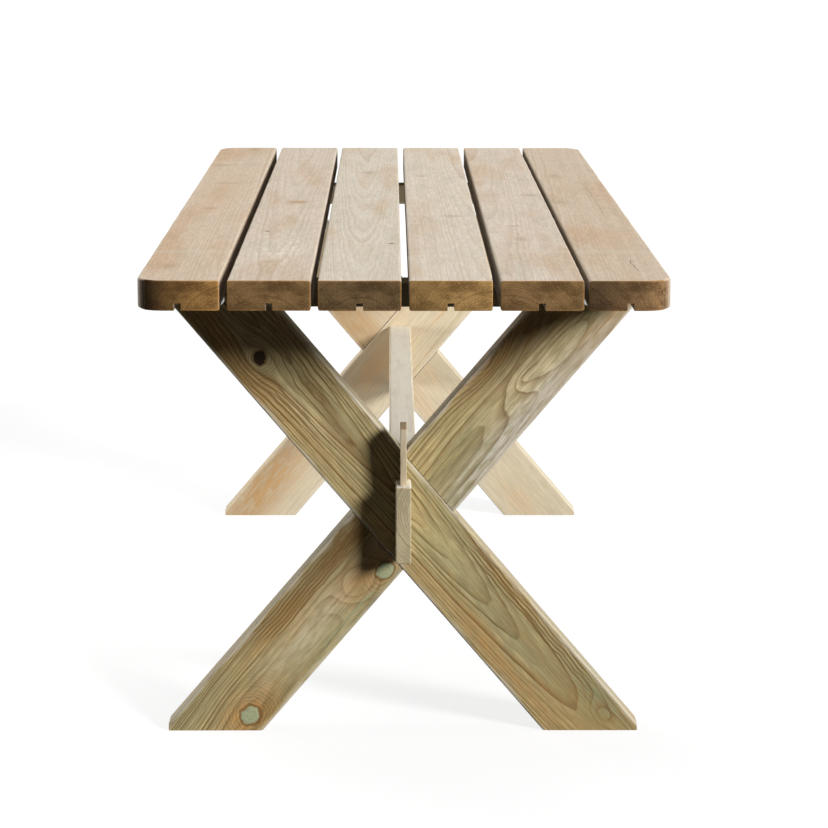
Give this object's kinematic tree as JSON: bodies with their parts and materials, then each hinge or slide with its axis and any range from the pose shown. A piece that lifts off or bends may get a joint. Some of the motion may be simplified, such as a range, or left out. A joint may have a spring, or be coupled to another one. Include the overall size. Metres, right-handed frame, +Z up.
{
  "type": "sawbuck table",
  "caption": "Plank-topped garden table on halved X trestles, with a through-tenoned stretcher locked by loose wedges that lift out.",
  "frame": {"origin": "on the floor, under the middle of the table top", "axes": "+Z up, +Y along the table top, +X across it; the pictured end is at -Y"},
  "size_m": [0.77, 2, 0.747],
  "materials": {
    "top_planks": "planed pressure-treated pine, weathered pale",
    "leg_planks": "planed pressure-treated pine, greenish",
    "bearer_wood": "planed pressure-treated pine",
    "stretcher_plank": "planed pressure-treated pine",
    "wedge_wood": "planed pressure-treated pine",
    "galvanised_steel": "zinc coated, dull",
    "screw_steel": "zinc coated, dull"
  },
  "bodies": {
    "table": {"top_board_1": "top_planks", "top_board_2": "top_planks", "top_board_3": "top_planks", "top_board_4": "top_planks", "top_board_5": "top_planks", "top_board_6": "top_planks", "near_bearer": "bearer_wood", "far_bearer": "bearer_wood", "near_leg_top_left": "leg_planks", "near_leg_top_right": "leg_planks", "far_leg_top_left": "leg_planks", "far_leg_top_right": "leg_planks", "stretcher": "stretcher_plank", "near_leg_bolts": "galvanised_steel", "far_leg_bolts": "galvanised_steel", "near_bolt_washers": "galvanised_steel", "far_bolt_washers": "galvanised_steel", "near_bolt_nuts": "galvanised_steel", "far_bolt_nuts": "galvanised_steel", "near_board_screws": "screw_steel", "far_board_screws": "screw_steel"},
    "near_wedge": {"near_wedge": "wedge_wood"},
    "far_wedge": {"far_wedge": "wedge_wood"}
  },
  "joints": [
    {"name": "near_wedge_lift", "type": "slide", "parent": "table", "child": "near_wedge", "axis": [0, 0, 1], "range_m": [0, 0.14]},
    {"name": "far_wedge_lift", "type": "slide", "parent": "table", "child": "far_wedge", "axis": [0, 0, 1], "range_m": [0, 0.14]}
  ]
}
